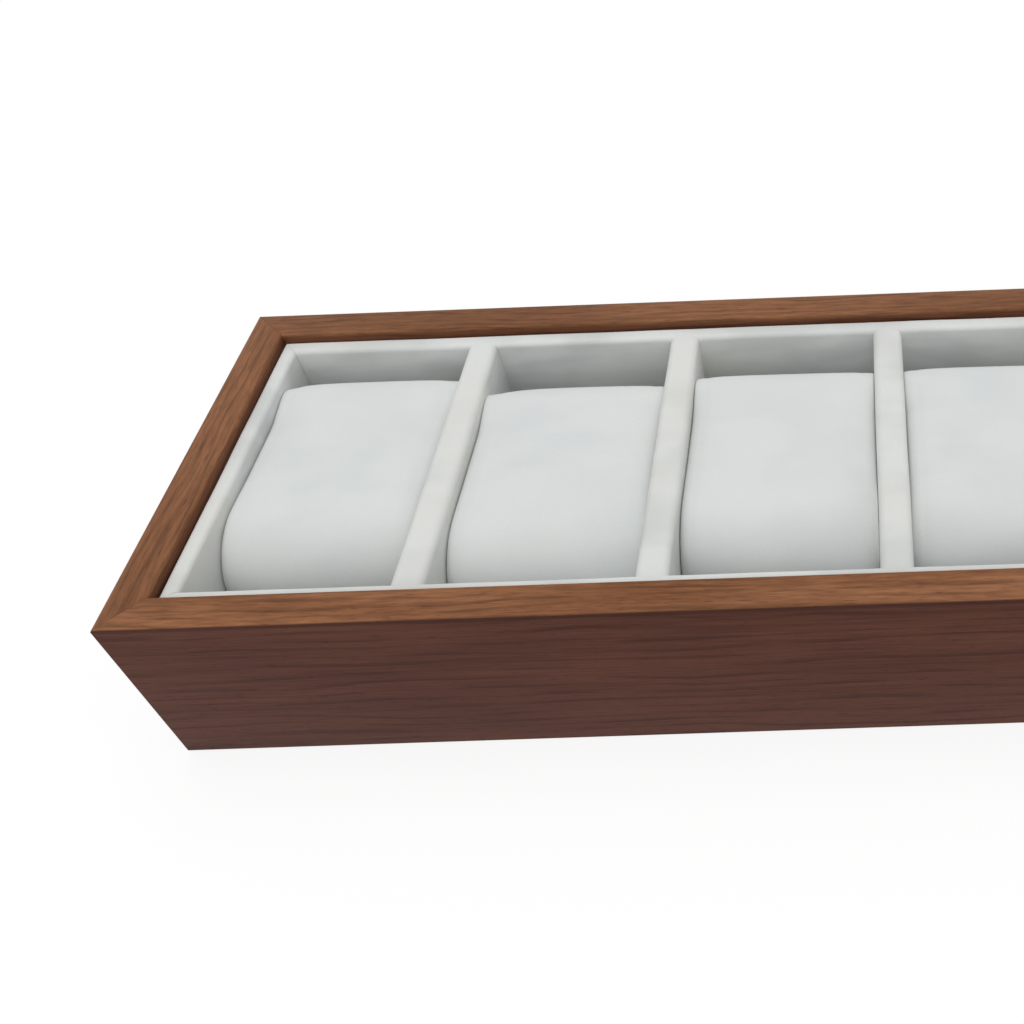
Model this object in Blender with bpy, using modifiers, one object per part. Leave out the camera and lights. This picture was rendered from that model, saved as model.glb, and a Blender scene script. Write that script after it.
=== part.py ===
"""Watch display tray: a mitred wooden frame, a wrapped liner with dividers, and a pillow in each compartment.

Metres, +Z up. The origin is the middle of the underside, +X runs along the tray, and its front faces -Y.
"""

from math import cos, pi, radians, sin, sqrt

import bmesh
import bpy
from mathutils import Matrix, Vector

# Compartments
COMPARTMENTS = 6
COMPARTMENT_WIDTH = 0.0493
COMPARTMENT_DEPTH = 0.0872

# Wooden frame
FRAME_HEIGHT = 0.0500
RAIL_THICKNESS = 0.0095
REBATE_DEPTH = 0.0050
EASED_EDGE = 0.0006

# Base, from the underside up
FELT_THICKNESS = 0.0010
BASE_THICKNESS = 0.0030

# Wrapped liner
LINING_THICKNESS = 0.0012
FRONT_WALL_THICKNESS = 0.0033
BACK_WALL_THICKNESS = 0.0049
END_WALL_THICKNESS = 0.0043
DIVIDER_THICKNESS = 0.0080
WRAPPED_EDGE = 0.0009
RIM_DROP = 0.0022

# Pillows. Each has slid a little forward or back in its compartment: its slide is the share of the strap gap
# that it has moved, from -1 at the back wall to 1 at the front wall.
STRAP_GAP = 0.0080
PILLOW_TOP_DROP = 0.0009
PILLOW_CROWN = 0.0007
HEEL_RADIUS = 0.0090
NOSE_FLAT = 0.0016
PUFFED_EDGE = 0.0022
PILLOW_SLIDES = (-0.08, 0.56, 0.18, 0.16, 0.40, 0.08)

# Between pieces that touch
TOUCH_GAP = 0.0003

# Fineness of round forms
EDGE_SEGMENTS = 3
HEEL_SEGMENTS = 6
NOSE_SEGMENTS = 12
CROWN_SEGMENTS = 8

# The wrapped liner fills the frame, and the compartments fill the liner
LINER_LENGTH = (
    COMPARTMENTS * COMPARTMENT_WIDTH + (COMPARTMENTS - 1) * DIVIDER_THICKNESS + 2 * END_WALL_THICKNESS
)
LINER_DEPTH = FRONT_WALL_THICKNESS + COMPARTMENT_DEPTH + BACK_WALL_THICKNESS
COMPARTMENT_Y = (FRONT_WALL_THICKNESS - BACK_WALL_THICKNESS) / 2
INNER_LENGTH = LINER_LENGTH + 2 * TOUCH_GAP
INNER_DEPTH = LINER_DEPTH + 2 * TOUCH_GAP
FRAME_LENGTH = INNER_LENGTH + 2 * RAIL_THICKNESS
FRAME_DEPTH = INNER_DEPTH + 2 * RAIL_THICKNESS

# Heights, each piece standing on the one below it
BASE_Z = FELT_THICKNESS + TOUCH_GAP
REBATE_HEIGHT = BASE_Z + BASE_THICKNESS + TOUCH_GAP
LINING_Z = REBATE_HEIGHT
FLOOR_Z = LINING_Z + LINING_THICKNESS + TOUCH_GAP
RIM_Z = FRAME_HEIGHT - RIM_DROP


def clear_scene():
    """Removes the objects that a new scene starts with."""
    for obj in list(bpy.data.objects):
        bpy.data.objects.remove(obj, do_unlink=True)


def make_material(name, hex_colour, roughness):
    """A Principled material; the colour is an sRGB hex value."""
    linear = []
    for start in (0, 2, 4):
        value = int(hex_colour[start:start + 2], 16) / 255
        linear.append(value / 12.92 if value <= 0.04045 else ((value + 0.055) / 1.055) ** 2.4)
    material = bpy.data.materials.new(name)
    material.use_nodes = True
    shader = material.node_tree.nodes["Principled BSDF"]
    shader.inputs["Base Color"].default_value = (*linear, 1.0)
    shader.inputs["Roughness"].default_value = roughness
    shader.inputs["Metallic"].default_value = 0.0
    material.diffuse_color = (*linear, 1.0)
    return material


def rounded_outline(corners):
    """Points of a closed outline from its corners, each (across, up, radius, segments), anticlockwise."""
    points = []
    count = len(corners)
    for index, (across, up, radius, segments) in enumerate(corners):
        corner = Vector((across, up))
        if radius == 0.0:
            points.append(corner)
            continue
        before = (Vector(corners[index - 1][:2]) - corner).normalized()
        after = (Vector(corners[(index + 1) % count][:2]) - corner).normalized()
        centre = corner + radius * (before + after)
        for step in range(segments + 1):
            angle = step / segments * pi / 2
            points.append(centre - radius * (cos(angle) * after + sin(angle) * before))
    return points


def extruded(name, outline, start, end, place, cuts=()):
    """A closed solid, extruded from an outline, cut into rings and shaped by place(across, up, along)."""
    mesh = bpy.data.meshes.new(name)
    bm = bmesh.new()
    face = bm.faces.new([bm.verts.new((point.x, point.y, start)) for point in outline])
    made = bmesh.ops.extrude_face_region(bm, geom=[face])["geom"]
    far_end = [item for item in made if isinstance(item, bmesh.types.BMVert)]
    bmesh.ops.translate(bm, verts=far_end, vec=(0.0, 0.0, end - start))
    for cut in cuts:
        everything = bm.verts[:] + bm.edges[:] + bm.faces[:]
        bmesh.ops.bisect_plane(bm, geom=everything, plane_co=(0.0, 0.0, cut), plane_no=(0.0, 0.0, 1.0))
    for vert in bm.verts:
        vert.co = place(*vert.co)
    bmesh.ops.recalc_face_normals(bm, faces=bm.faces)
    if bm.calc_volume(signed=True) < 0:
        bmesh.ops.reverse_faces(bm, faces=bm.faces)
    bm.to_mesh(mesh)
    bm.free()
    return mesh


def add_piece(name, mesh, material, root, collection, location=(0.0, 0.0, 0.0), turn=0.0):
    """Puts a mesh in the tray as a named piece."""
    if not mesh.materials:
        mesh.materials.append(material)
    piece = bpy.data.objects.new(name, mesh)
    piece.location = location
    piece.rotation_euler = (0.0, 0.0, turn)
    piece.parent = root
    collection.objects.link(piece)
    return piece


def shade_round(mesh, angle):
    """Smooth shading, with edges sharper than the angle kept crisp."""
    mesh.shade_smooth()
    mesh.set_sharp_from_angle(angle=angle)


def rail_mesh(name, length):
    """A rail along X with its outer face at y = 0, its inner face towards +Y, and 45 degree mitres.

    Its section has eased edges and, at the bottom inside, the rebate that takes the base panel.
    """
    web = RAIL_THICKNESS - REBATE_DEPTH
    section = rounded_outline([
        (0.0, 0.0, EASED_EDGE, EDGE_SEGMENTS),
        (web, 0.0, 0.0, 0),
        (web, REBATE_HEIGHT, 0.0, 0),
        (RAIL_THICKNESS, REBATE_HEIGHT, 0.0, 0),
        (RAIL_THICKNESS, FRAME_HEIGHT, EASED_EDGE, EDGE_SEGMENTS),
        (0.0, FRAME_HEIGHT, EASED_EDGE, EDGE_SEGMENTS),
    ])
    mitre_gap = TOUCH_GAP / sqrt(2)

    def place(inward, up, end):
        return Vector((end * (length / 2 - inward - mitre_gap), inward, up))

    mesh = extruded(name, section, -1.0, 1.0, place)
    shade_round(mesh, radians(40))
    return mesh


def build_frame(material, root, collection):
    """Four mitred rails: the long ones at the front and back, the short ones at the ends."""
    long_rail = rail_mesh("long_rail", FRAME_LENGTH)
    short_rail = rail_mesh("short_rail", FRAME_DEPTH)
    add_piece("front_rail", long_rail, material, root, collection, (0.0, -FRAME_DEPTH / 2, 0.0), 0.0)
    add_piece("back_rail", long_rail, material, root, collection, (0.0, FRAME_DEPTH / 2, 0.0), pi)
    add_piece("right_rail", short_rail, material, root, collection, (FRAME_LENGTH / 2, 0.0, 0.0), pi / 2)
    add_piece("left_rail", short_rail, material, root, collection, (-FRAME_LENGTH / 2, 0.0, 0.0), -pi / 2)


def sheet_mesh(name, length, depth, thickness):
    """A flat rectangular sheet with its underside at z = 0."""
    mesh = bpy.data.meshes.new(name)
    bm = bmesh.new()
    bmesh.ops.create_cube(bm, size=1.0, matrix=Matrix.Diagonal((length, depth, thickness, 1.0)))
    bmesh.ops.translate(bm, verts=bm.verts, vec=(0.0, 0.0, thickness / 2))
    bm.to_mesh(mesh)
    bm.free()
    return mesh


def build_base(panel_material, felt_material, lining_material, root, collection):
    """The felt and the panel lie in the rebate, and the lining lies on the panel between the rails."""
    reach = REBATE_DEPTH - TOUCH_GAP
    length = INNER_LENGTH + 2 * reach
    depth = INNER_DEPTH + 2 * reach
    felt = sheet_mesh("base_felt", length, depth, FELT_THICKNESS)
    panel = sheet_mesh("base_panel", length, depth, BASE_THICKNESS)
    lining = sheet_mesh("floor_lining", LINER_LENGTH, LINER_DEPTH, LINING_THICKNESS)
    add_piece("base_felt", felt, felt_material, root, collection)
    add_piece("base_panel", panel, panel_material, root, collection, (0.0, 0.0, BASE_Z))
    add_piece("floor_lining", lining, lining_material, root, collection, (0.0, 0.0, LINING_Z))


def compartment_x(index):
    """Middle of a compartment, counted from the left."""
    return (index - (COMPARTMENTS - 1) / 2) * (COMPARTMENT_WIDTH + DIVIDER_THICKNESS)


def wrapped_board_mesh(name, length, thickness):
    """A wrapped board along X, standing on the floor lining, with the soft top edges of folded fabric."""
    section = rounded_outline([
        (-thickness / 2, FLOOR_Z, 0.0, 0),
        (thickness / 2, FLOOR_Z, 0.0, 0),
        (thickness / 2, RIM_Z, WRAPPED_EDGE, EDGE_SEGMENTS),
        (-thickness / 2, RIM_Z, WRAPPED_EDGE, EDGE_SEGMENTS),
    ])

    def place(across, up, along):
        return Vector((along, across, up))

    mesh = extruded(name, section, -length / 2, length / 2, place)
    shade_round(mesh, radians(40))
    return mesh


def build_liner(material, root, collection):
    """The long walls run the whole length; the end walls and the dividers stand between them."""
    span = COMPARTMENT_DEPTH - 2 * TOUCH_GAP
    front_wall = wrapped_board_mesh("front_wall", LINER_LENGTH, FRONT_WALL_THICKNESS)
    back_wall = wrapped_board_mesh("back_wall", LINER_LENGTH, BACK_WALL_THICKNESS)
    end_wall = wrapped_board_mesh("end_wall", span, END_WALL_THICKNESS)
    divider = wrapped_board_mesh("divider", span, DIVIDER_THICKNESS)
    front_wall_y = -(LINER_DEPTH - FRONT_WALL_THICKNESS) / 2
    back_wall_y = (LINER_DEPTH - BACK_WALL_THICKNESS) / 2
    end_wall_x = (LINER_LENGTH - END_WALL_THICKNESS) / 2
    add_piece("liner_front_wall", front_wall, material, root, collection, (0.0, front_wall_y, 0.0))
    add_piece("liner_back_wall", back_wall, material, root, collection, (0.0, back_wall_y, 0.0))
    add_piece("liner_left_wall", end_wall, material, root, collection, (-end_wall_x, COMPARTMENT_Y, 0.0), pi / 2)
    add_piece("liner_right_wall", end_wall, material, root, collection, (end_wall_x, COMPARTMENT_Y, 0.0), pi / 2)
    for index in range(1, COMPARTMENTS):
        x = (compartment_x(index - 1) + compartment_x(index)) / 2
        add_piece(f"divider_{index}", divider, material, root, collection, (x, COMPARTMENT_Y, 0.0), pi / 2)


def pillow_mesh():
    """A foam pillow across its compartment: flat below, crowned above, half round in front, squarer behind.

    The watch's strap passes round it, in front of the nose and behind the heel.
    """
    width = COMPARTMENT_WIDTH - 2 * TOUCH_GAP
    length = COMPARTMENT_DEPTH - 2 * STRAP_GAP
    height = RIM_Z - PILLOW_TOP_DROP - FLOOR_Z
    nose_radius = (height - NOSE_FLAT) / 2
    outline = rounded_outline([
        (-length / 2, 0.0, nose_radius, NOSE_SEGMENTS),
        (length / 2, 0.0, HEEL_RADIUS, HEEL_SEGMENTS),
        (length / 2, height, HEEL_RADIUS, HEEL_SEGMENTS),
        (-length / 2, height, nose_radius, NOSE_SEGMENTS),
    ])

    def place(forward, up, side):
        fall = PILLOW_CROWN * side * side
        return Vector((side * width / 2, forward * (1 - 2 * fall / length), up * (1 - fall / height)))

    rings = [2 * step / CROWN_SEGMENTS - 1 for step in range(1, CROWN_SEGMENTS)]
    mesh = extruded("pillow", outline, -1.0, 1.0, place, rings)
    shade_round(mesh, radians(60))
    return mesh


def build_pillows(material, root, collection):
    """One pillow in each compartment, standing on the floor lining."""
    mesh = pillow_mesh()
    play = STRAP_GAP - TOUCH_GAP
    for index in range(COMPARTMENTS):
        slide = PILLOW_SLIDES[index % len(PILLOW_SLIDES)]
        location = (compartment_x(index), COMPARTMENT_Y - slide * play, FLOOR_Z)
        pillow = add_piece(f"pillow_{index + 1}", mesh, material, root, collection, location)
        puff = pillow.modifiers.new("puffed_edge", "BEVEL")
        puff.width = PUFFED_EDGE
        puff.segments = EDGE_SEGMENTS
        puff.limit_method = "ANGLE"
        puff.angle_limit = radians(60)


clear_scene()
tray = bpy.data.collections.new("watch_display_tray")
bpy.context.scene.collection.children.link(tray)
origin = bpy.data.objects.new("tray_origin", None)
tray.objects.link(origin)

walnut_veneer = make_material("walnut_veneer", "7A5038", 0.45)
fibreboard = make_material("fibreboard", "A98B66", 0.80)
dark_felt = make_material("dark_felt", "3A3634", 0.95)
liner_microfibre = make_material("liner_microfibre", "D5D8D8", 0.90)
pillow_microfibre = make_material("pillow_microfibre", "D8DCDC", 0.90)

build_frame(walnut_veneer, origin, tray)
build_base(fibreboard, dark_felt, liner_microfibre, origin, tray)
build_liner(liner_microfibre, origin, tray)
build_pillows(pillow_microfibre, origin, tray)
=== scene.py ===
"""Looks of the watch display tray: veneered frame, wrapped liner and foam pillows, on a plain pale floor."""

from math import copysign, cos, pi, radians, sin

import bmesh
import bpy
import numpy as np
from mathutils import Matrix, Vector, noise


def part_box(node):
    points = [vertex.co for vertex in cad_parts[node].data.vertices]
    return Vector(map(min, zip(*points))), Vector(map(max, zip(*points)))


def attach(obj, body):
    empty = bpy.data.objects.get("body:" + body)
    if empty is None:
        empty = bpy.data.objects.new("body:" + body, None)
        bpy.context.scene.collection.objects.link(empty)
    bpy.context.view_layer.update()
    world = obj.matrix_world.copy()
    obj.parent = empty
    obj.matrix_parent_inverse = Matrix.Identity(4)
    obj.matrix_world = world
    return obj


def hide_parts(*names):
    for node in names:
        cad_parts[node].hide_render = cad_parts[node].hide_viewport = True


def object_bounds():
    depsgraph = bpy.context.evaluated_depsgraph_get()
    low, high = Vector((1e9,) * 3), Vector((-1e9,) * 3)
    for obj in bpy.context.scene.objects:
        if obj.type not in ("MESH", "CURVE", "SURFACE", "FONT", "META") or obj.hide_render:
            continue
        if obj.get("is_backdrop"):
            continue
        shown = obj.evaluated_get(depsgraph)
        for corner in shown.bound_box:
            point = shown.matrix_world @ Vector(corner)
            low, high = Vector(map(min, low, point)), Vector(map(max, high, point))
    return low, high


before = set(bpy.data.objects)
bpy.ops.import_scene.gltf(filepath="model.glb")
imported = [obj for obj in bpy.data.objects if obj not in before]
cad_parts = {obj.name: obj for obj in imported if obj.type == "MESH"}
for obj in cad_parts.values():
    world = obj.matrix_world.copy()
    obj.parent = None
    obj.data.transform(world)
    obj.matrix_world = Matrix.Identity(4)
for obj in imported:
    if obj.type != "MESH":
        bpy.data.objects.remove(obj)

scene = bpy.context.scene
scene.view_settings.view_transform = "Standard"
cad_low, cad_high = (tuple(corner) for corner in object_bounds())


# Camera: the photograph is the left part of a wider picture that was taken from above the tray's middle, so
# the lens is shifted sideways. Its place is in metres in the tray's own frame, and its turns are in degrees.
CAMERA_PLACE = (-0.00291, -0.22466, 0.25789)
CAMERA_TURN = 0.883
CAMERA_TILT = 43.24
CAMERA_ROLL = -2.659
CAMERA_LENS_MM = 41.94
CAMERA_SHIFT = -0.350

lens = bpy.data.cameras.new("camera")
lens.sensor_width = 36.0
lens.lens = CAMERA_LENS_MM
lens.shift_x = CAMERA_SHIFT
lens.clip_start = 0.01
camera = bpy.data.objects.new("camera", lens)
scene.collection.objects.link(camera)
scene.camera = camera
camera.matrix_world = (
    Matrix.Translation(CAMERA_PLACE)
    @ Matrix.Rotation(radians(CAMERA_TURN), 4, "Z")
    @ Matrix.Rotation(radians(CAMERA_TILT), 4, "X")
    @ Matrix.Rotation(radians(CAMERA_ROLL), 4, "Z")
)


# Studio: a broad soft light from above, a weak one low in front and to the right, an even white
# surround, and a pale floor that shows white and keeps the tray's soft shadow.
KEY_STRENGTH = 1.16
KEY_WIDTH = 50.0
KEY_FROM = (-0.02, 0.14, 1.0)
FILL_STRENGTH = 0.46
FILL_WIDTH = 60.0
FILL_FROM = (0.28, -1.0, 0.45)
SURROUND_STRENGTH = 0.635
FLOOR_SIZE = 6.0
FLOOR_DROP = 0.0001


def linear(hex_colour):
    """The linear RGBA colour of an sRGB hex value."""
    values = [int(hex_colour[start:start + 2], 16) / 255 for start in (0, 2, 4)]
    return (*[v / 12.92 if v <= 0.04045 else ((v + 0.055) / 1.055) ** 2.4 for v in values], 1.0)


def add_node(tree, kind, inputs=None, **settings):
    """Adds a node. An input is given as a value, a hex colour, or the node or socket that feeds it."""
    node = tree.nodes.new(kind)
    for name, setting in settings.items():
        setattr(node, name, setting)
    for key, given in (inputs or {}).items():
        if isinstance(given, bpy.types.Node):
            given = next(output for output in given.outputs if output.enabled)
        if isinstance(given, bpy.types.NodeSocket):
            tree.links.new(given, node.inputs[key])
        else:
            node.inputs[key].default_value = linear(given) if isinstance(given, str) else given
    return node


def seen_directly(tree):
    """1 for rays from the camera, and for those that gloss and glass send on."""
    rays = add_node(tree, "ShaderNodeLightPath").outputs
    seen = rays["Is Camera Ray"]
    for other in ("Is Glossy Ray", "Is Transmission Ray"):
        seen = add_node(tree, "ShaderNodeMath", {0: seen, 1: rays[other]}, operation="MAXIMUM")
    return seen


def link_mesh(name, mesh):
    """An object at the origin that shows a mesh."""
    piece = bpy.data.objects.new(name, mesh)
    scene.collection.objects.link(piece)
    return piece


for name, strength, width, place in (("key_light", KEY_STRENGTH, KEY_WIDTH, KEY_FROM),
                                     ("fill_light", FILL_STRENGTH, FILL_WIDTH, FILL_FROM)):
    light = bpy.data.lights.new(name, "SUN")
    light.energy = strength
    light.angle = radians(width)
    lamp = bpy.data.objects.new(name, light)
    lamp.rotation_euler = Vector(place).to_track_quat("Z", "Y").to_euler()
    scene.collection.objects.link(lamp)

surround = bpy.data.worlds.new("white_surround")
surround.use_nodes = True
sky = surround.node_tree
sky.nodes.clear()
shown = add_node(sky, "ShaderNodeBackground", {"Color": "FFFFFF", "Strength": 1.0})
lighting = add_node(sky, "ShaderNodeBackground", {"Color": "FFFFFF", "Strength": SURROUND_STRENGTH})
either = add_node(sky, "ShaderNodeMixShader", {0: seen_directly(sky), 1: lighting, 2: shown})
add_node(sky, "ShaderNodeOutputWorld", {0: either})
scene.world = surround

# The floor is white to the camera, with enough true shading mixed in to keep the tray's shadow. To the tray
# it is a mid grey, so that it throws no more light up its sides than a plain floor would.
FLOOR_SHADING = 0.16

floor_paint = bpy.data.materials.new("pale_floor")
floor_paint.use_nodes = True
paint = floor_paint.node_tree
paint.nodes.clear()
glow = add_node(paint, "ShaderNodeEmission", {"Color": "FFFFFF", "Strength": 1.0})
matt = add_node(paint, "ShaderNodeBsdfDiffuse", {"Color": "FFFFFF"})
bright = add_node(paint, "ShaderNodeMixShader", {0: FLOOR_SHADING, 1: glow, 2: matt})
dim = add_node(paint, "ShaderNodeBsdfDiffuse", {"Color": "A8A8A8"})
floor_look = add_node(paint, "ShaderNodeMixShader", {0: seen_directly(paint), 1: dim, 2: bright})
add_node(paint, "ShaderNodeOutputMaterial", {0: floor_look})

floor_mesh = bpy.data.meshes.new("floor")
bm = bmesh.new()
bmesh.ops.create_grid(bm, x_segments=1, y_segments=1, size=FLOOR_SIZE / 2,
                      matrix=Matrix.Translation((0.0, 0.0, -FLOOR_DROP)))
bm.to_mesh(floor_mesh)
bm.free()
floor_mesh.materials.append(floor_paint)
link_mesh("floor", floor_mesh)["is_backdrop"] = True


# Wooden frame: four lengths of board, wrapped in walnut veneer with the grain along each, mitred at 45
# degrees and glued at the corners. The mitres close tight, every long edge is eased, and a rebate below
# holds the base.
RAIL_EASED = 0.0006
RAIL_EASED_STEPS = 5
RAIL_SHARP_ANGLE = 40
MITRE_GAP = 0.00004
REBATE_WIDTH = 0.0050
REBATE_HEIGHT = 0.0046


def rounded_outline(corners):
    """Points of a closed outline from its corners, each (across, up, radius, steps), anticlockwise."""
    points = []
    for index, (across, up, radius, steps) in enumerate(corners):
        corner = Vector((across, up))
        if steps == 0:
            points.append(corner)
            continue
        before = (Vector(corners[index - 1][:2]) - corner).normalized()
        after = (Vector(corners[(index + 1) % len(corners)][:2]) - corner).normalized()
        centre = corner + radius * (before + after)
        for step in range(steps + 1):
            angle = step / steps * pi / 2
            points.append(centre - radius * (cos(angle) * after + sin(angle) * before))
    return points


def veneered_rail(name, length, thickness, height, turn, sheet_start):
    """A mitred rail on its side of the frame. Its UV is metres along the sheet and round the section."""
    web = thickness - REBATE_WIDTH
    section = rounded_outline([
        (thickness, REBATE_HEIGHT, 0.0, 0),
        (thickness, height, RAIL_EASED, RAIL_EASED_STEPS),
        (0.0, height, RAIL_EASED, RAIL_EASED_STEPS),
        (0.0, 0.0, RAIL_EASED, RAIL_EASED_STEPS),
        (web, 0.0, 0.0, 0),
        (web, REBATE_HEIGHT, 0.0, 0),
    ])
    bm = bmesh.new()
    uv = bm.loops.layers.uv.new("veneer")
    rows = []
    for inward, up in section:
        reach = length / 2 - inward - MITRE_GAP
        rows.append([bm.verts.new((end * reach, inward, up)) for end in (-1, 1)])
    walked = 0.0
    for index, row in enumerate(rows):
        following = rows[(index + 1) % len(rows)]
        step = (section[(index + 1) % len(section)] - section[index]).length
        face = bm.faces.new((row[0], row[1], following[1], following[0]))
        for loop, around in zip(face.loops, (walked, walked, walked + step, walked + step)):
            loop[uv].uv = (loop.vert.co.x + sheet_start, around)
        walked += step
    for end in (0, 1):
        face = bm.faces.new([row[end] for row in rows])
        for loop in face.loops:
            loop[uv].uv = (loop.vert.co.y + sheet_start, loop.vert.co.z)
    bmesh.ops.recalc_face_normals(bm, faces=bm.faces)
    bm.transform(Matrix.Rotation(turn, 4, "Z") @ Matrix.Translation((0.0, -SIDE_REACH[turn], 0.0)))
    mesh = bpy.data.meshes.new(name)
    bm.to_mesh(mesh)
    bm.free()
    mesh.shade_smooth()
    mesh.set_sharp_from_angle(angle=radians(RAIL_SHARP_ANGLE))
    return mesh


front_low, front_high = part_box("front_rail")
RAIL_THICKNESS = front_high[1] - front_low[1]
RAIL_HEIGHT = front_high[2]
FRAME_LENGTH = cad_high[0] - cad_low[0]
FRAME_DEPTH = cad_high[1] - cad_low[1]
SIDE_REACH = {
    0.0: FRAME_DEPTH / 2, pi: FRAME_DEPTH / 2,
    pi / 2: FRAME_LENGTH / 2, -pi / 2: FRAME_LENGTH / 2,
}

# Walnut veneer: real wood, sliced thin, stained and lacquered satin. It shows dark growth lines some 3 mm
# apart that wander and fade, fine pale fibres, dark curls and short open pores. The strip on the top edge is
# a veneer strip of its own, more orange than the faces. The faces are also darkened with painted shade, the
# inner face is lifted part way back with painted light, and a line of painted shade runs under the strip's
# outer edge. Each grain is given in metres, along and across. Pores are drawn twice as wide as real ones,
# and fibres as bundles 0.4 mm wide, so that they show.
RING_SPACING = 0.0034
TOP_SPACING = 0.0022
RING_WANDER = 0.0092
RING_RIPPLE = 0.0011
WANDER_GRAIN = (0.075, 0.014)
RIPPLE_GRAIN = (0.020, 0.006)
FADING_GRAIN = (0.028, 0.0040)
FIBRE_GRAIN = (0.030, 0.0004)
CURL_GRAIN = (0.0090, 0.0009)
CLOUD_GRAIN = (0.090, 0.012)
PORE_GRAIN = (0.0040, 0.00028)

# Where the strip and the painted shade line under its outer edge begin, are full, start to fade and end,
# from the strip's nearer edge
STRIP_INNER = (-0.0012, -0.0006)
STRIP_OUTER = (-0.0007, -0.0001)
EDGE_SHADE_LINE = (-0.0006, -0.0002, 0.0003, 0.0012)
# How far the inner face is lifted towards the strip's tone, as painted light
INNER_PAINTED_LIGHT = 0.38

veneer = bpy.data.materials.new("walnut_veneer")
veneer.use_nodes = True
tree = veneer.node_tree
tree.nodes.clear()
sheet = add_node(tree, "ShaderNodeUVMap", uv_map="veneer")
along_sheet, around, _ = add_node(tree, "ShaderNodeSeparateXYZ", {0: sheet}).outputs


def grains(tree, place, size, seed, detail, roughness=0.5):
    """Noise on a place, whose grains are so many metres long, wide and, in a solid pattern, high."""
    scale = [1 / length for length in size] + [1.0] * (3 - len(size))
    placed = add_node(tree, "ShaderNodeMapping", {0: place, "Location": (0.0, 0.0, seed), "Scale": scale})
    return add_node(tree, "ShaderNodeTexNoise",
                    {"Vector": placed, "Scale": 1.0, "Detail": detail, "Roughness": roughness})


def patches(tree, place, size, seed, detail, roughness, low, high, least=0.0, most=1.0):
    """Grains as soft-edged patches: least where their noise is under low, and most where it is over high."""
    return add_node(tree, "ShaderNodeMapRange", {
        "Value": grains(tree, place, size, seed, detail, roughness),
        "From Min": low, "From Max": high, "To Min": least, "To Max": most,
    }, interpolation_type="SMOOTHSTEP")


def band(tree, place, begins, full, fades, ends):
    """1 from full to fades, 0 before begins and after ends, and soft between them."""
    rise = add_node(tree, "ShaderNodeMapRange", {"Value": place, "From Min": begins, "From Max": full},
                    interpolation_type="SMOOTHSTEP")
    fall = add_node(tree, "ShaderNodeMapRange", {"Value": place, "From Min": ends, "From Max": fades},
                    interpolation_type="SMOOTHSTEP")
    return add_node(tree, "ShaderNodeMath", {0: rise, 1: fall}, operation="MULTIPLY")


# The section starts at the rebate, goes up the inner face, over the top and down the outer face
top_start = RAIL_HEIGHT - REBATE_HEIGHT
top_end = top_start + RAIL_THICKNESS
on_top = band(tree, around, top_start + STRIP_INNER[0], top_start + STRIP_INNER[1],
              top_end + STRIP_OUTER[0], top_end + STRIP_OUTER[1])
# A dark line of painted shade just under the top's outer edge
painted_edge_shade = band(tree, around, *[top_end + away for away in EDGE_SHADE_LINE])
inner_face = add_node(tree, "ShaderNodeMapRange", {
    "Value": around, "From Min": top_start + STRIP_INNER[1], "From Max": top_start + STRIP_INNER[0],
}, interpolation_type="SMOOTHSTEP")
# The strip's own tone on the top, and part of it on the inner face as painted light
strip_tone_and_painted_light = add_node(tree, "ShaderNodeMath", {0: inner_face, 1: INNER_PAINTED_LIGHT, 2: on_top},
                  operation="MULTIPLY_ADD")

# Growth lines: even steps round the section that wander and ripple, darken slowly, end sharply, and fade
# here and there along the grain
wandered = around
for size, seed, detail, reach in ((WANDER_GRAIN, 1.0, 2.0, RING_WANDER),
                                  (RIPPLE_GRAIN, 2.0, 1.0, RING_RIPPLE)):
    swing = add_node(tree, "ShaderNodeMath", {0: grains(tree, sheet, size, seed, detail), 1: 0.5},
                     operation="SUBTRACT")
    wandered = add_node(tree, "ShaderNodeMath", {0: swing, 1: reach, 2: wandered}, operation="MULTIPLY_ADD")
rings_per_metre = add_node(tree, "ShaderNodeMath", {
    0: on_top, 1: 1 / TOP_SPACING - 1 / RING_SPACING, 2: 1 / RING_SPACING}, operation="MULTIPLY_ADD")
rings = add_node(tree, "ShaderNodeMath", {0: wandered, 1: rings_per_metre}, operation="MULTIPLY")
ring = add_node(tree, "ShaderNodeMath", {0: rings}, operation="FRACT")
fading = patches(tree, sheet, FADING_GRAIN, 3.0, 1.0, 0.5, 0.34, 0.66, 0.05, 1.0)
line = add_node(tree, "ShaderNodeMath", {0: band(tree, ring, 0.42, 0.84, 0.88, 1.0), 1: fading},
                operation="MULTIPLY")

fibre = patches(tree, sheet, FIBRE_GRAIN, 4.0, 3.0, 0.6, 0.32, 0.68)
curl = patches(tree, sheet, CURL_GRAIN, 8.0, 2.0, 0.6, 0.30, 0.70)
cloud = patches(tree, sheet, CLOUD_GRAIN, 5.0, 2.0, 0.5, 0.35, 0.65)
pore = patches(tree, sheet, PORE_GRAIN, 6.0, 1.0, 0.5, 0.60, 0.72)

# The rails are cut from two sheets, one after the other, and the second is a little darker
SECOND_SHEET = 0.60
SHEET_JOIN = 0.05
darker_sheet = add_node(tree, "ShaderNodeMapRange", {
    "Value": along_sheet, "From Min": SECOND_SHEET, "From Max": SECOND_SHEET + SHEET_JOIN,
}, interpolation_type="SMOOTHSTEP")
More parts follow.
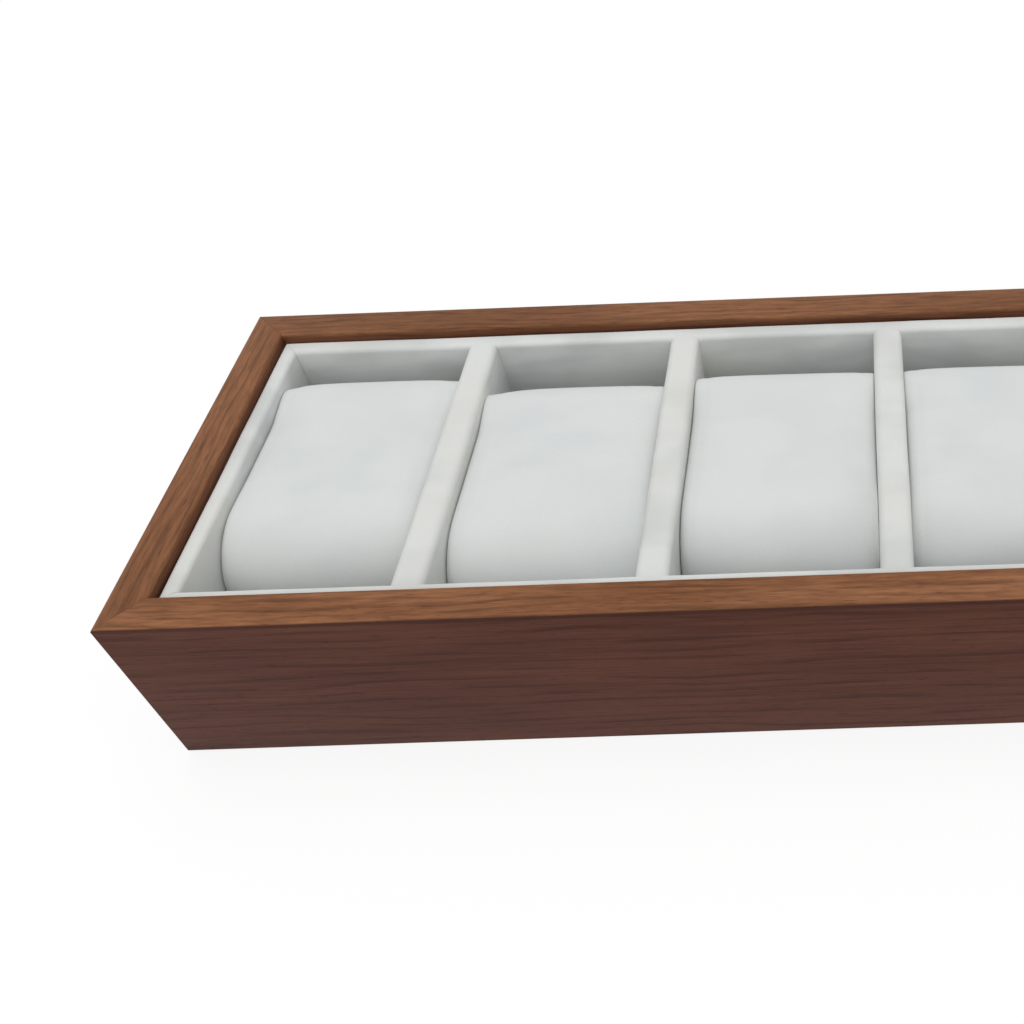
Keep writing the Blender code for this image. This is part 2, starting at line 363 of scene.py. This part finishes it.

# From the clouded ground tone up: each pattern, how strongly it shows, and its colour
# The faces' tone is the veneer's own, made darker with painted shade
face_tone_and_shade = add_node(tree, "ShaderNodeMix", {0: cloud, 6: "532D25", 7: "61382F"}, data_type="RGBA")
strip_tone = add_node(tree, "ShaderNodeMix", {0: cloud, 6: "7D4F2F", 7: "966442"}, data_type="RGBA")
tone = add_node(tree, "ShaderNodeMix", {0: strip_tone_and_painted_light, 6: face_tone_and_shade, 7: strip_tone}, data_type="RGBA")
curl_strength = add_node(tree, "ShaderNodeMath", {0: on_top, 1: 0.24, 2: 0.12}, operation="MULTIPLY_ADD")
line_strength = add_node(tree, "ShaderNodeMath", {0: on_top, 1: -0.12, 2: 0.56}, operation="MULTIPLY_ADD")
for pattern, strength, colour in (
        (fibre, 0.18, "9A6F50"),
        (curl, curl_strength, "3A1F17"),
        (line, line_strength, "371D14"),
        (pore, 0.40, "2A1610"),
        # painted shade under the top's outer edge
        (painted_edge_shade, 0.50, "2B1710"),
        (darker_sheet, 0.15, "3F2619")):
    share = add_node(tree, "ShaderNodeMath", {0: pattern, 1: strength}, operation="MULTIPLY")
    tone = add_node(tree, "ShaderNodeMix", {0: share, 6: tone, 7: colour}, data_type="RGBA")

# Satin lacquer that has sunk into the pores: fibres stand a little proud, growth lines and pores lie lower
rough = add_node(tree, "ShaderNodeMath", {0: fibre, 1: pore}, operation="ADD")
gloss = add_node(tree, "ShaderNodeMapRange", {
    "Value": rough, "From Min": 0.0, "From Max": 2.0, "To Min": 0.48, "To Max": 0.62,
}, interpolation_type="SMOOTHSTEP")
streaks = add_node(tree, "ShaderNodeMath", {0: fibre, 1: line}, operation="SUBTRACT")
raised = add_node(tree, "ShaderNodeMath", {0: streaks, 1: 0.3}, operation="MULTIPLY")
relief = add_node(tree, "ShaderNodeMath", {0: raised, 1: pore}, operation="SUBTRACT")
grain_bump = add_node(tree, "ShaderNodeBump", {"Strength": 0.35, "Distance": 0.00012, "Height": relief})
wood = add_node(tree, "ShaderNodeBsdfPrincipled", {
    "Base Color": tone, "Roughness": gloss, "Specular IOR Level": 0.12, "Normal": grain_bump})
add_node(tree, "ShaderNodeOutputMaterial", {0: wood})

# Each rail starts at its own place along the sheets, in metres: the back and left ones lie on the second
for node_name, length, turn, sheet_start in (
        ("front_rail", FRAME_LENGTH, 0.0, 0.173),
        ("right_rail", FRAME_DEPTH, pi / 2, 0.346),
        ("back_rail", FRAME_LENGTH, pi, 1.0),
        ("left_rail", FRAME_DEPTH, -pi / 2, 1.5)):
    name = f"veneered_{node_name}"
    rail_mesh = veneered_rail(name, length, RAIL_THICKNESS, RAIL_HEIGHT, turn, sheet_start)
    rail_mesh.materials.append(veneer)
    rail = link_mesh(name, rail_mesh)
    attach(rail, "root")
    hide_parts(node_name)


# Base: a thin panel of raw fibreboard, glued into the rails' rebate from below, and a sheet of wool felt
# glued under it, flush with the rails, which the tray stands on. Both keep the solids' shape.
FLECK = (0.0012, 0.0012, 0.0012)
TUFT = (0.0008, 0.0008, 0.0008)

# Raw fibreboard: wood fibres pressed with resin and left bare, so that it is matt and light brown, with
# flecks about a millimetre across
board = bpy.data.materials.new("raw_fibreboard")
board.use_nodes = True
tree = board.node_tree
tree.nodes.clear()
place = add_node(tree, "ShaderNodeTexCoord").outputs["Object"]
flecks = patches(tree, place, FLECK, 0.0, 3.0, 0.5, 0.35, 0.65)
flecked = add_node(tree, "ShaderNodeMix", {0: flecks, 6: "9C8060", 7: "B4976F"}, data_type="RGBA")
board_bump = add_node(tree, "ShaderNodeBump", {"Strength": 0.4, "Distance": 0.0001, "Height": flecks})
bare_board = add_node(tree, "ShaderNodeBsdfPrincipled", {
    "Base Color": flecked, "Roughness": 0.85, "Normal": board_bump})
add_node(tree, "ShaderNodeOutputMaterial", {0: bare_board})

# Wool felt: matted fibres pressed into a dense sheet, dull and dark, with uneven tufts. These are drawn
# 0.8 mm across, coarser than real ones, so that they show
felt = bpy.data.materials.new("pressed_wool_felt")
felt.use_nodes = True
tree = felt.node_tree
tree.nodes.clear()
place = add_node(tree, "ShaderNodeTexCoord").outputs["Object"]
tufts = grains(tree, place, TUFT, 0.0, 4.0, 0.7)
tufted = add_node(tree, "ShaderNodeMapRange", {"Value": tufts, "From Min": 0.3, "From Max": 0.7},
                  interpolation_type="SMOOTHSTEP")
wool_tone = add_node(tree, "ShaderNodeMix", {0: tufted, 6: "2F2C2A", 7: "443F3C"}, data_type="RGBA")
felt_bump = add_node(tree, "ShaderNodeBump", {"Strength": 0.6, "Distance": 0.0002, "Height": tufts})
wool = add_node(tree, "ShaderNodeBsdfPrincipled", {
    "Base Color": wool_tone, "Roughness": 0.95, "Sheen Weight": 0.25, "Normal": felt_bump})
add_node(tree, "ShaderNodeOutputMaterial", {0: wool})


def dress_node(name, material):
    """Gives a solid that keeps its shape its finish."""
    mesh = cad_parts[name].data
    mesh.materials.clear()
    mesh.materials.append(material)


dress_node("base_panel", board)
dress_node("base_felt", felt)


# Liner: boards wrapped in suede-like polyester microfibre, glued behind. Four of them line the frame and
# join at mitres, with softly rounded corners, and the five dividers fit over the long walls' soft edges.
WALL_EDGE = 0.0014
DIVIDER_EDGE = 0.0020
WRAP_STEPS = 6
RING_STEP = 0.0020
CORNER_RADIUS = 0.0020
BOARD_SHARP_ANGLE = 50
JOINT_GAP = 0.00003
HAND_WRAPPED = 0.00010
LUMP_SIZE = 0.018
WRAP_SEED = 1
noise.seed_set(WRAP_SEED)

# Suede-like microfibre: very fine polyester fibres, brushed up into a short nap. It is matt, with a faint
# sheen at its edges, and looks lighter or darker in patches and strokes where the nap lies another way. The
# fibre ends are drawn 0.3 mm across, far coarser than real ones, so that they show, with painted shade in
# the gaps between them.
NAP_PATCH = (0.024, 0.024, 0.013)
NAP_STROKE = (0.024, 0.0080, 0.0050)
CAST_PATCH = (0.030, 0.030, 0.030)
FIBRE_END = (0.0003, 0.0003, 0.0003)
# The colour of the painted shade between fibre ends
FIBRE_GAP_SHADE = "8E9292"


def microfibre(name, dark, light, cast, mottle):
    """Microfibre between two tones, mixed by its nap by up to mottle each way, with a cast in places."""
    material = bpy.data.materials.new(name)
    material.use_nodes = True
    tree = material.node_tree
    tree.nodes.clear()
    place = add_node(tree, "ShaderNodeTexCoord").outputs["Object"]
    patch = grains(tree, place, NAP_PATCH, 0.0, 2.0)
    stroke = grains(tree, place, NAP_STROKE, 3.0, 1.0)
    nap = add_node(tree, "ShaderNodeMath", {0: stroke, 1: 0.5, 2: patch}, operation="MULTIPLY_ADD")
    lie = add_node(tree, "ShaderNodeMapRange", {
        "Value": nap, "From Min": 0.60, "From Max": 0.90, "To Min": 0.5 - mottle, "To Max": 0.5 + mottle,
    }, interpolation_type="SMOOTHSTEP")
    tinted = patches(tree, place, CAST_PATCH, 5.0, 1.0, 0.5, 0.35, 0.65, 0.0, 0.5)
    ends = grains(tree, place, FIBRE_END, 7.0, 2.0, 0.7)
    # Painted shade in the gaps between the fibre ends
    painted_gap_shade = add_node(tree, "ShaderNodeMapRange", {
        "Value": ends, "From Min": 0.35, "From Max": 0.65, "To Min": 0.06, "To Max": 0.0,
    }, interpolation_type="SMOOTHSTEP")
    colour = dark
    for share, tint in ((lie, light), (tinted, cast), (painted_gap_shade, FIBRE_GAP_SHADE)):
        colour = add_node(tree, "ShaderNodeMix", {0: share, 6: colour, 7: tint}, data_type="RGBA")
    bump = add_node(tree, "ShaderNodeBump", {"Strength": 0.35, "Distance": 0.00010, "Height": ends})
    cloth = add_node(tree, "ShaderNodeBsdfPrincipled", {
        "Base Color": colour, "Roughness": 0.92, "Specular IOR Level": 0.20,
        "Sheen Weight": 0.15, "Sheen Roughness": 0.45, "Normal": bump})
    add_node(tree, "ShaderNodeOutputMaterial", {0: cloth})
    return material


liner_cloth = microfibre("liner_microfibre", "C4C7C5", "DBDDDB", "D7D6D0", 0.32)

boards = bpy.data.node_groups.new("wrapped_boards", "GeometryNodeTree")
SIZES = (
    ("Length", "NodeSocketFloat"), ("Height", "NodeSocketFloat"), ("Thickness", "NodeSocketFloat"),
    ("Edge Radius", "NodeSocketFloat"), ("Rings", "NodeSocketInt"), ("Cope", "NodeSocketFloat"),
    ("Outer Side", "NodeSocketFloat"), ("Start Mitre", "NodeSocketFloat"), ("End Mitre", "NodeSocketFloat"),
    ("Count", "NodeSocketInt"), ("Spacing", "NodeSocketFloat"), ("Fabric", "NodeSocketMaterial"),
)
socket_of = {}
for label, kind in SIZES:
    socket_of[label] = boards.interface.new_socket(label, in_out="INPUT", socket_type=kind).identifier
boards.interface.new_socket("Boards", in_out="OUTPUT", socket_type="NodeSocketGeometry")

# How far along the board each point goes, step by step. A coped end follows the soft edge that it meets, a
# mitred end is cut back from the outer face to the inner one, and rings lie closer together towards the
# ends, where the corners are rounded.
SUMS = (
    ("half length", "DIVIDE", "Length", 2.0),
    ("start", "MULTIPLY", "half length", -1.0),
    ("half height", "DIVIDE", "Height", 2.0),
    ("edge start", "SUBTRACT", "half height", "Cope"),
    ("past edge start", "SUBTRACT", "up", "edge start"),
    ("rise", "MAXIMUM", "past edge start", 0.0),
    ("rise squared", "MULTIPLY", "rise", "rise"),
    ("cope squared", "MULTIPLY", "Cope", "Cope"),
    ("rest squared", "SUBTRACT", "cope squared", "rise squared"),
    ("rest from zero", "MAXIMUM", "rest squared", 0.0),
    ("rest", "SQRT", "rest from zero"),
    ("coped by", "SUBTRACT", "Cope", "rest"),
    ("across outwards", "MULTIPLY", "across", "Outer Side"),
    ("share across", "DIVIDE", "across outwards", "Thickness"),
    ("share from outer", "SUBTRACT", 0.5, "share across"),
    ("at end", "GREATER_THAN", "forward", 0.0),
    ("mitre change", "SUBTRACT", "End Mitre", "Start Mitre"),
    ("mitre", "MULTIPLY_ADD", "at end", "mitre change", "Start Mitre"),
    ("mitred by", "MULTIPLY", "share from outer", "mitre"),
    ("longer by", "SUBTRACT", "coped by", "mitred by"),
    ("change", "DIVIDE", "longer by", "half length"),
    ("share forward", "DIVIDE", "forward", "half length"),
    ("angle", "MULTIPLY", "share forward", pi / 2),
    ("eased share", "SINE", "angle"),
    ("eased", "MULTIPLY", "eased share", "half length"),
    ("new forward", "MULTIPLY_ADD", "eased", "change", "eased"),
)
size = add_node(boards, "NodeGroupInput").outputs
known = {label: size[label] for label, _ in SIZES}
point = add_node(boards, "ShaderNodeSeparateXYZ", {0: add_node(boards, "GeometryNodeInputPosition")})
known.update(zip(("across", "forward", "up"), point.outputs))
for result, operation, *given in SUMS:
    numbered = {index: known.get(item, item) for index, item in enumerate(given)}
    known[result] = add_node(boards, "ShaderNodeMath", numbered, operation=operation)

section = add_node(boards, "GeometryNodeCurvePrimitiveQuadrilateral", {
    "Width": size["Thickness"], "Height": size["Height"]})
soft_section = add_node(boards, "GeometryNodeFilletCurve", {
    "Curve": section, "Count": WRAP_STEPS, "Radius": size["Edge Radius"], "Limit Radius": True}, mode="POLY")
path = add_node(boards, "GeometryNodeCurvePrimitiveLine", {
    "Start": add_node(boards, "ShaderNodeCombineXYZ", {2: known["start"]}),
    "End": add_node(boards, "ShaderNodeCombineXYZ", {2: known["half length"]})})
rings = add_node(boards, "GeometryNodeResampleCurve", {"Curve": path, "Count": size["Rings"]})
bar = add_node(boards, "GeometryNodeCurveToMesh", {
    "Curve": rings, "Profile Curve": soft_section, "Fill Caps": True})
laid = add_node(boards, "GeometryNodeTransform", {"Geometry": bar, "Rotation": (-pi / 2, 0.0, 0.0)})
cut = add_node(boards, "ShaderNodeCombineXYZ", {
    0: known["across"], 1: known["new forward"], 2: known["up"]})
shaped = add_node(boards, "GeometryNodeSetPosition", {"Geometry": laid, "Position": cut})
apart = add_node(boards, "ShaderNodeCombineXYZ", {0: size["Spacing"]})
seats = add_node(boards, "GeometryNodeMeshLine", {"Count": size["Count"], "Offset": apart}, mode="OFFSET")
copies = add_node(boards, "GeometryNodeInstanceOnPoints", {"Points": seats, "Instance": shaped})
real = add_node(boards, "GeometryNodeRealizeInstances", {0: copies})
soft = add_node(boards, "GeometryNodeSetShadeSmooth", {0: real})
finished = add_node(boards, "GeometryNodeSetMaterial", {0: soft, "Material": size["Fabric"]})
add_node(boards, "NodeGroupOutput", {0: finished})


def wrapped_boards(name, nodes, low, high, edge, along_x=False, cope=0.0, outer=1.0, mitres=(0.0, 0.0),
                   spacing=0.0):
    """Equal boards that stand for solids, the first of them in the box from low to high, as a plain mesh."""
    run, thick = (0, 1) if along_x else (1, 0)
    length = high[run] - low[run] - 2 * JOINT_GAP
    values = {
        "Length": length, "Height": high[2] - low[2], "Thickness": high[thick] - low[thick],
        "Edge Radius": edge, "Rings": round(length / RING_STEP) + 1, "Cope": cope,
        "Outer Side": outer, "Start Mitre": mitres[0], "End Mitre": mitres[1],
        "Count": len(nodes), "Spacing": spacing, "Fabric": liner_cloth,
    }
    maker = link_mesh(name + "_maker", bpy.data.meshes.new(name + "_maker"))
    modifier = maker.modifiers.new("wrapped_boards", "NODES")
    modifier.node_group = boards
    for label, value in values.items():
        modifier[socket_of[label]] = value
    graph = bpy.context.evaluated_depsgraph_get()
    mesh = bpy.data.meshes.new_from_object(maker.evaluated_get(graph), depsgraph=graph)
    mesh.name = name
    bpy.data.objects.remove(maker)
    if along_x:
        mesh.transform(Matrix.Rotation(pi / 2, 4, "Z"))
    mesh.transform(Matrix.Translation([(low[axis] + high[axis]) / 2 for axis in range(3)]))
    for vert in mesh.vertices:
        vert.co = in_rounded_corner(vert.co) + HAND_WRAPPED * noise.noise_vector(vert.co / LUMP_SIZE)
    mesh.set_sharp_from_angle(angle=radians(BOARD_SHARP_ANGLE))
    piece = link_mesh(name, mesh)
    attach(piece, "root")
    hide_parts(*nodes)


def in_rounded_corner(point):
    """The point, or its nearest place inside the liner's rounded outer corners."""
    out = Vector((abs(point.x) - (liner_reach.x - CORNER_RADIUS),
                  abs(point.y) - (liner_reach.y - CORNER_RADIUS)))
    if min(out) <= 0.0 or out.length <= CORNER_RADIUS:
        return point
    kept = out * (CORNER_RADIUS / out.length)
    return Vector((copysign(1.0, point.x) * (abs(point.x) - out.x + kept.x),
                   copysign(1.0, point.y) * (abs(point.y) - out.y + kept.y), point.z))


front_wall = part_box("liner_front_wall")
back_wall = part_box("liner_back_wall")
left_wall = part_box("liner_left_wall")
right_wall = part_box("liner_right_wall")
first_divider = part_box("divider_1")
second_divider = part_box("divider_2")
liner_reach = Vector((front_wall[1][0], back_wall[1][1]))
front_thick = front_wall[1][1] - front_wall[0][1]
back_thick = back_wall[1][1] - back_wall[0][1]
end_thick = left_wall[1][0] - left_wall[0][0]
bottom, top = front_wall[0][2], front_wall[1][2]

wrapped_boards("wrapped_front_wall", ["liner_front_wall"], *front_wall, WALL_EDGE, along_x=True,
               outer=-1.0, mitres=(end_thick, end_thick))
wrapped_boards("wrapped_back_wall", ["liner_back_wall"], *back_wall, WALL_EDGE, along_x=True,
               outer=1.0, mitres=(end_thick, end_thick))
wrapped_boards("wrapped_left_wall", ["liner_left_wall"],
               (left_wall[0][0], -liner_reach.y, bottom), (left_wall[1][0], liner_reach.y, top), WALL_EDGE,
               outer=-1.0, mitres=(front_thick, back_thick))
wrapped_boards("wrapped_right_wall", ["liner_right_wall"],
               (right_wall[0][0], -liner_reach.y, bottom), (right_wall[1][0], liner_reach.y, top), WALL_EDGE,
               outer=1.0, mitres=(front_thick, back_thick))
wrapped_boards("wrapped_dividers", sorted(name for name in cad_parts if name.startswith("divider_")),
               (first_divider[0][0], front_wall[1][1], bottom), (first_divider[1][0], back_wall[0][1], top),
               DIVIDER_EDGE, cope=WALL_EDGE, spacing=second_divider[0][0] - first_divider[0][0])
dress_node("floor_lining", liner_cloth)


# Pillows: a foam block in a sewn microfibre cover, pressed between the dividers. A long panel wraps its
# bottom, nose, top and heel, and an end panel is sewn in on each side. The foam fills the cover tightly, and
# handling has pressed it in places.
pillow_cloth = microfibre("pillow_microfibre", "C9CDCD", "DADDDC", "D6D8D5", 0.14)

PILLOW_MESH = 0.0022
PILLOW_PRESSURE = 10.0
PILLOW_STRETCH = 30.0
PILLOW_BENDING = 5.0
PILLOW_FRAMES = 20
PILLOW_SOFTENING = 24
PILLOW_CAP = 0.0005
PILLOW_CLEAR = 0.00010
OVERFILL = 0.0007
NOSE_FLAT = 0.0016
NOSE_STEPS = 14
HEEL_RADIUS = 0.0085
HEEL_STEPS = 8
HEEL_SQUARE = 0.85
HEEL_FROM = 0.5
HEEL_OVER = 0.4
SIDE_WIDTH = 0.0050
SIDE_DROP = 0.0028
SIDE_STEPS = 6
SIDE_RINGS = 6
RING_APART = 1e-6
CROWN = 0.0015
SEAM_IN = 0.0034
SEAM_DEPTH = 0.00022
SEAM_WIDTH = 0.0007

# Where handling has pressed the foam: across, along and up the pillow from -1 to 1, how deep, how far round
DENTS = {
    "pillow_1": ((-0.60, -0.80, 0.75, 0.0006, 0.008), (-1.00, -1.00, 0.10, 0.0008, 0.010),
                 (-1.00, 0.95, 0.90, 0.0006, 0.005)),
    "pillow_2": ((0.85, -0.80, 0.85, 0.0026, 0.015), (-1.00, 0.95, 0.90, 0.0007, 0.008)),
    "pillow_3": ((1.00, -0.72, 0.90, 0.0036, 0.016), (-1.00, -1.00, 0.15, 0.0008, 0.009)),
    "pillow_4": ((-0.85, -0.80, 0.80, 0.0020, 0.012),),
    "pillow_5": ((0.85, -0.85, 0.75, 0.0014, 0.014),),
    "pillow_6": ((-0.70, -0.85, 0.80, 0.0012, 0.013), (1.00, 0.95, 0.90, 0.0009, 0.006)),
}


def evenly(points, step):
    """A closed outline's points again, at even distances of about one step."""
    runs = [(points[(index + 1) % len(points)] - point).length for index, point in enumerate(points)]
    count = round(sum(runs) / step)
    placed = []
    index, walked = 0, 0.0
    for number in range(count):
        wanted = number * sum(runs) / count
        while walked + runs[index] < wanted:
            walked += runs[index]
            index += 1
        placed.append(points[index].lerp(points[(index + 1) % len(points)], (wanted - walked) / runs[index]))
    return placed


def pillow_form(width, length, height):
    """The foam block: flat below, crowned above, half round in front, squarer behind, soft at the sides."""
    nose = (height - NOSE_FLAT) / 2
    outline = evenly(rounded_outline([
        (-length / 2, 0.0, nose, NOSE_STEPS),
        (length / 2, 0.0, HEEL_RADIUS, HEEL_STEPS),
        (length / 2, height, HEEL_RADIUS, HEEL_STEPS),
        (-length / 2, height, nose, NOSE_STEPS),
    ]), PILLOW_MESH)
    flat = width / 2 - SIDE_WIDTH
    half_count = round(flat / PILLOW_MESH)
    slices = [(flat * step / half_count, 0.0, 1.0) for step in range(1 - half_count, half_count)]
    for side in (-1, 1):
        for step in range(SIDE_STEPS + 1):
            angle = step / SIDE_STEPS * pi / 2
            slices.append((side * (flat + SIDE_WIDTH * sin(angle)), SIDE_DROP * (1 - cos(angle)), 1.0))
        for ring in range(1, SIDE_RINGS):
            slices.append((side * (width / 2 + ring * RING_APART), SIDE_DROP, 1 - ring / SIDE_RINGS))
    bm = bmesh.new()
    loops = []
    for across, rounding, share in sorted(slices):
        loop = []
        for point in outline:
            heel = min(max((2 * point.x / length - HEEL_FROM) / HEEL_OVER, 0.0), 1.0)
            fall = (CROWN * (2 * across / width) ** 4 + rounding) * (1 - HEEL_SQUARE * heel)
            loop.append(bm.verts.new((
                across,
                share * point.x * (1 - 2 * fall / length),
                height / 2 + share * (point.y - height / 2) * (1 - 2 * fall / height),
            )))
        loops.append(loop)
    for first, second in zip(loops, loops[1:]):
        for index in range(len(first)):
            following = (index + 1) % len(first)
            bm.faces.new((first[index], first[following], second[following], second[index]))
    bm.faces.new(loops[0])
    bm.faces.new(loops[-1])
    bmesh.ops.recalc_face_normals(bm, faces=bm.faces)
    mesh = bpy.data.meshes.new("pillow_form")
    bm.to_mesh(mesh)
    bm.free()
    return mesh


def baked(piece):
    """Replaces a piece's mesh by what its modifiers make of it."""
    graph = bpy.context.evaluated_depsgraph_get()
    mesh = bpy.data.meshes.new_from_object(piece.evaluated_get(graph), depsgraph=graph)
    piece.modifiers.clear()
    piece.data = mesh
    return mesh


def points_of(mesh):
    """A mesh's points as an array."""
    flat = np.empty(len(mesh.vertices) * 3)
    mesh.vertices.foreach_get("co", flat)
    return flat.reshape(-1, 3)


def softened(field, mesh, rounds):
    """Vectors on a mesh's points, evened out between neighbours so that only broad changes stay."""
    ends = np.empty(len(mesh.edges) * 2, dtype=int)
    mesh.edges.foreach_get("vertices", ends)
    first, second = ends.reshape(-1, 2).T
    count = np.bincount(ends, minlength=len(field)).reshape(-1, 1)
    for _ in range(rounds):
        total = np.zeros_like(field)
        np.add.at(total, first, field[second])
        np.add.at(total, second, field[first])
        field = (field + total / count) / 2
    return field


def stretched_to(values, low, high):
    """Values stretched on each side of their middle so that they reach from low to high."""
    middle = (low + high) / 2
    away = values - middle
    above = away * (high - middle) / away.max()
    below = away * (low - middle) / away.min()
    return middle + np.where(away > 0, above, below)


# Each cover starts a little too wide, swells as cloth, and is pressed back to just clear of its neighbours
wall_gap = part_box("pillow_1")[0][0] - left_wall[1][0]
for name in sorted(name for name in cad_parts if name.startswith("pillow_")):
    low, high = (np.array(corner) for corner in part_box(name))
    low += (PILLOW_CLEAR - wall_gap, 0.0, 0.0)
    high -= (PILLOW_CLEAR - wall_gap, 0.0, 0.0)
    middle = (low + high) / 2
    form = pillow_form(*(high - low + (2 * OVERFILL, 0.0, 0.0)).tolist())
    form.transform(Matrix.Translation((middle[0], middle[1], low[2])))
    pillow = link_mesh("cover_of_" + name, form)
    mesh = form
    start = points_of(mesh)
    points = start
    cloth = pillow.modifiers.new("cloth", "CLOTH")
    cloth.settings.use_pressure = True
    cloth.settings.uniform_pressure_force = PILLOW_PRESSURE
    cloth.settings.tension_stiffness = PILLOW_STRETCH
    cloth.settings.compression_stiffness = PILLOW_STRETCH
    cloth.settings.bending_stiffness = PILLOW_BENDING
    cloth.settings.effector_weights.gravity = 0.0
    for tick in range(1, PILLOW_FRAMES + 1):
        scene.frame_set(tick)
    mesh = baked(pillow)
    scene.frame_set(1)
    moved = softened(points_of(mesh) - start, mesh, PILLOW_SOFTENING)
    distance = np.linalg.norm(moved, axis=1, keepdims=True)
    points = start + moved * np.minimum(1.0, PILLOW_CAP / np.maximum(distance, 1e-9))
    points[:, 0] = np.clip(points[:, 0], low[0], high[0])
    points[:, 1] = stretched_to(points[:, 1], low[1], high[1])
    points[:, 2] = stretched_to(points[:, 2], low[2], high[2])
    mesh.vertices.foreach_set("co", points.ravel())
    mesh.update()

    # A seam runs a little way in from each side, and both seams and dents leave the sides as they are
    normals = np.array([vert.normal[:] for vert in mesh.vertices])
    from_seam = (high[0] - low[0]) / 2 - SEAM_IN - np.abs(points[:, 0] - middle[0])
    push = SEAM_DEPTH * np.exp(-(from_seam / SEAM_WIDTH) ** 2)
    for across, along_it, above_it, depth, spread_out in DENTS.get(name, ()):
        centre = middle + (high - low) / 2 * (across, along_it, above_it)
        push += depth * np.exp(-(np.linalg.norm(points - centre, axis=1) / spread_out) ** 2)
    points -= normals * push[:, None] * (0.0, 1.0, 1.0)
    mesh.vertices.foreach_set("co", points.ravel())
    mesh.materials.clear()
    mesh.materials.append(pillow_cloth)
    rounder = pillow.modifiers.new("rounder", "SUBSURF")
    rounder.levels = 1
    rounder.render_levels = 1
    mesh = baked(pillow)
    mesh.shade_smooth()
    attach(pillow, "root")
    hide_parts(name)


low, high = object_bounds()
